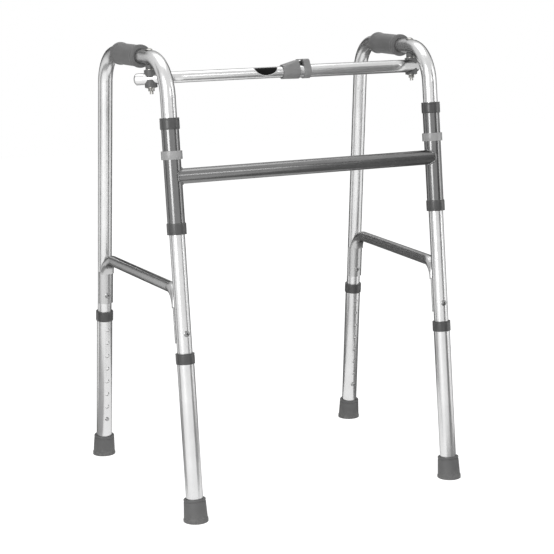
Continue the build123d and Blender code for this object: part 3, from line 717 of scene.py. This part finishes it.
crossCentre = boxCentre("front_crossbar")
for side, sign in sides.items():
    sleeveAt = boxCentre("sleeve_" + side)
    origin = sleeveAt + foldUp * ((crossCentre - sleeveAt).dot(foldUp))
    placed = placing(origin, foldUp, Vector((1, 0, 0)))
    curve = bpy.data.curves.new("weldPath", "CURVE")
    curve.dimensions = "3D"
    curve.bevel_depth = bead["radius"] * mm
    curve.bevel_resolution = bead["resolution"]
    spline = curve.splines.new("POLY")
    spline.points.add(bead["points"] - 1)
    for index, point in enumerate(spline.points):
        turn = math.tau * index / bead["points"]
        point.co = (*beadPoint(turn, sign), 1)
        point.radius = 1 + bead["ripple"] * math.sin(bead["ripples"] * turn)
    spline.use_cyclic_u = True
    holder = bpy.data.objects.new("weldPath", curve)
    bm = bmesh.new()
    bm.from_mesh(bpy.data.meshes.new_from_object(holder))
    bpy.data.objects.remove(holder)
    finishPiece(
        bm, "weld_" + side, finishes["darkTubeAcross"], "front_frame", placed,
        bead["crease"],
    )
print("weld beads made")


label = {
    "x": -50.5, "half": 21.2, "depth": 14.3, "topTurn": 31.0, "thick": 0.1, "border": 1.3,
    "borderLift": 0.12, "faceLift": 0.16, "sides": 72, "rings": 8,
}


def buildLabel(name, margin, lift, finish):
    # a half oval wrapped round the tube, its straight side uppermost
    bm = bmesh.new()
    bmesh.ops.create_circle(bm, cap_ends=True, cap_tris=True, segments=label["sides"], radius=1.0)
    # a spoke is 1 long, and an edge of the rim far less
    spokes = [edge for edge in bm.edges if edge.calc_length() > 0.5]
    bmesh.ops.subdivide_edges(bm, edges=spokes, cuts=label["rings"], use_grid_fill=True)
    bmesh.ops.bisect_plane(
        bm, geom=bm.verts[:] + bm.edges[:] + bm.faces[:], dist=weld, plane_co=(0, 0, 0),
        plane_no=(0, 1, 0), clear_inner=True,
    )
    reach = innerRadius + lift * mm
    for vert in bm.verts:
        along = vert.co.x * (label["half"] + margin) * mm
        down = vert.co.y * (label["depth"] + 2 * margin) - margin
        around = math.radians(label["topTurn"]) + down * mm / innerRadius
        vert.co = (label["x"] * mm + along, -math.sin(around) * reach, math.cos(around) * reach)
    bmesh.ops.recalc_face_normals(bm, faces=bm.faces)
    outward = 0.0
    for face in bm.faces:
        middle = face.calc_center_median()
        outward += face.normal.dot(Vector((0, middle.y, middle.z)))
    if outward < 0:
        bmesh.ops.reverse_faces(bm, faces=bm.faces)
    bmesh.ops.solidify(bm, geom=bm.faces[:], thickness=label["thick"] * mm)
    finishPiece(bm, name, finish, "bar_left", barPlacing)


paper = {"grain": 1800.0, "bump": 0.000004, "specular": 0.06}
pale = {"dark": grey(0.7), "light": grey(0.78), "roughness": (0.3, 0.4)}
black = {"dark": grey(0.006), "light": grey(0.01), "roughness": (0.4, 0.5)}
paleFinish = moulded("labelPale", {**paper, **pale})
buildLabel("label_border", label["border"], label["borderLift"], paleFinish)
blackFinish = moulded("labelBlack", {**paper, **black})
buildLabel("label_face", 0.0, label["faceLift"], blackFinish)
print("label made")


def givingPiece(node, name, finish, body):
    bm = copyOf(node)
    piece = finishPiece(bm, name, finishes[finish], body)
    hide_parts(node)
    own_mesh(piece)


givingPiece(
    "latch_button", "snap_button", "buttonBlack", "latch_button",
)
givingPiece(
    "latch_button_spring", "snap_leaf", "springPlate", "bar_left",
)
for place in legNames:
    side = place.split("_")[1]
    givingPiece(
        "leg_button_spring_" + place, "leg_leaf_" + place, "springPlate", side + "_side",
    )
print("giving pieces made")


studio = {
    "worldFill": 0.16, "backdrop": 1.0, "aim": (0.0, 0.0, 0.42),
    "floorSize": 9.0, "floorCells": 8, "floorDrop": 0.0002,
    "floorPlain": 0.8, "floorShadow": 0.42, "floorGlow": 0.96,
}
# metres and watts; a lamp that doesn't shine isn't mirrored by the metal
lamps = {
    "keyLeft": {"at": (-2.5, -1.9, 1.6), "size": (1.2, 2.4), "power": 48.0, "shines": True},
    "fillRight": {"at": (2.7, -1.9, 1.3), "size": (1.4, 2.4), "power": 20.0, "shines": True},
    "overhead": {"at": (0.1, 0.4, 2.7), "size": (2.0, 1.6), "power": 16.0, "shines": True},
    "frontSoft": {"at": (-1.1, -3.3, 1.0), "size": (0.6, 1.2), "power": 20.0, "shines": False},
    "sparkRight": {"at": (1.1, -2.9, 1.7), "size": (1.1, 0.5), "power": 5.0, "shines": True},
}
# each card is its turn from the camera's own direction, its width and its shade
cards = {
    "reach": 1.45, "height": 1.5, "near": 0.35, "lift": 0.003, "stripShade": 0.45, "rough": 0.9,
    "places": [
        (24, 0.5, 0.05), (-24, 0.5, 0.05), (46, 0.5, 0.12), (-46, 0.5, 0.12),
        (118, 0.7, 0.42), (-100, 0.5, 0.72),
    ],
}


def seenDirectly(tree):
    # 1 for what the camera, a mirror or glass sees, and 0 for light that falls on the object
    path = addNode(tree, "LightPath")
    seen = maths(tree, "ADD", path.outputs["Is Camera Ray"], path.outputs["Is Glossy Ray"])
    seen = maths(tree, "ADD", seen, path.outputs["Is Transmission Ray"])
    return maths(tree, "MINIMUM", seen, 1.0)


def buildWorld():
    world = bpy.data.worlds.new("studioWorld")
    bpy.context.scene.world = world
    world.use_nodes = True
    tree = world.node_tree
    background = tree.nodes["Background"]
    background.inputs["Color"].default_value = (1, 1, 1, 1)
    level = remap(tree, seenDirectly(tree), 0.0, 1.0, studio["worldFill"], studio["backdrop"])
    tree.links.new(level, background.inputs["Strength"])


def buildFloor():
    bm = bmesh.new()
    cells = studio["floorCells"]
    bmesh.ops.create_grid(bm, x_segments=cells, y_segments=cells, size=studio["floorSize"] / 2)
    mesh = bpy.data.meshes.new("studioFloor")
    bm.to_mesh(mesh)
    bm.free()
    floor = bpy.data.objects.new("studioFloor", mesh)
    bpy.context.scene.collection.objects.link(floor)
    floor.location.z = -studio["floorDrop"]
    material = bpy.data.materials.new("floorPaper")
    material.use_nodes = True
    tree = material.node_tree
    tree.nodes.remove(tree.nodes["Principled BSDF"])
    plain = addNode(tree, "BsdfDiffuse", values={"Color": (*grey(studio["floorPlain"]), 1)})
    shadowed = addNode(tree, "BsdfDiffuse", values={"Color": (*grey(studio["floorShadow"]), 1)})
    glow = addNode(tree, "Emission", values={"Strength": studio["floorGlow"]})
    both = addNode(tree, "AddShader")
    tree.links.new(shadowed.outputs[0], both.inputs[0])
    tree.links.new(glow.outputs[0], both.inputs[1])
    mix = addNode(tree, "MixShader")
    tree.links.new(seenDirectly(tree), mix.inputs[0])
    tree.links.new(plain.outputs[0], mix.inputs[1])
    tree.links.new(both.outputs[0], mix.inputs[2])
    tree.links.new(mix.outputs[0], tree.nodes["Material Output"].inputs["Surface"])
    mesh.materials.append(material)


def buildCard(size, placed, shade):
    material = bpy.data.materials.new("flagCloth")
    material.use_nodes = True
    shader = material.node_tree.nodes["Principled BSDF"]
    shader.inputs["Base Color"].default_value = (*grey(shade), 1)
    shader.inputs["Roughness"].default_value = cards["rough"]
    bm = bmesh.new()
    bmesh.ops.create_grid(bm, x_segments=1, y_segments=1, size=0.5)
    bmesh.ops.scale(bm, vec=(*size, 1), verts=bm.verts)
    bm.transform(placed)
    mesh = bpy.data.meshes.new("flag")
    bm.to_mesh(mesh)
    bm.free()
    mesh.materials.append(material)
    flag = bpy.data.objects.new("flag", mesh)
    flag.visible_camera = False
    flag.visible_diffuse = False
    flag.visible_shadow = False
    bpy.context.scene.collection.objects.link(flag)


def buildFlags():
    # grey cards that only the shine of the metal sees, for the darker edges of a studio tube
    high, reach, near = cards["height"], cards["reach"], cards["near"]
    for turn, wide, shade in cards["places"]:
        angle = math.radians(view["yaw"] + turn)
        away = Vector((math.sin(angle), math.cos(angle), 0))
        centre = away * reach + Vector((0, 0, high / 2))
        buildCard((high, wide), placing(centre, -away, Vector((0, 0, 1))), shade)
        # the strip on the floor carries the card's reflection down the lower legs
        middle = away * (reach + near) / 2 + Vector((0, 0, cards["lift"]))
        stripShade = max(shade, cards["stripShade"])
        buildCard((reach - near, wide), placing(middle, Vector((0, 0, 1)), away), stripShade)


def buildLamps():
    for name, lamp in lamps.items():
        data = bpy.data.lights.new(name, "AREA")
        data.shape = "RECTANGLE"
        data.size, data.size_y = lamp["size"]
        data.energy = lamp["power"]
        holder = bpy.data.objects.new(name, data)
        holder.location = lamp["at"]
        holder.visible_glossy = lamp["shines"]
        aim = Vector(studio["aim"]) - Vector(lamp["at"])
        holder.rotation_euler = aim.to_track_quat("-Z", "Y").to_euler()
        bpy.context.scene.collection.objects.link(holder)


view = {
    "at": (-1.1912, -2.5534, 0.935), "yaw": 25.14, "pitch": 11.70, "roll": -0.715, "lens": 103.92,
    "sensor": 36.0,
}


def buildCamera():
    yaw, pitch, roll = (math.radians(view[k]) for k in ("yaw", "pitch", "roll"))
    level = math.cos(pitch)
    look = Vector((math.sin(yaw) * level, math.cos(yaw) * level, -math.sin(pitch)))
    right = Vector((math.cos(yaw), -math.sin(yaw), 0))
    up = right.cross(look)
    rolledRight = math.cos(roll) * right + math.sin(roll) * up
    rolledUp = -math.sin(roll) * right + math.cos(roll) * up
    turn = Matrix((rolledRight, rolledUp, -look)).transposed().to_4x4()
    data = bpy.data.cameras.new("studioCamera")
    data.lens = view["lens"]
    data.sensor_width = view["sensor"]
    camera = bpy.data.objects.new("studioCamera", data)
    camera.matrix_world = Matrix.Translation(view["at"]) @ turn
    bpy.context.scene.collection.objects.link(camera)
    bpy.context.scene.camera = camera


buildWorld()
buildFloor()
buildFlags()
buildLamps()
buildCamera()
bpy.context.scene.view_settings.view_transform = "Standard"
print("studio ready")
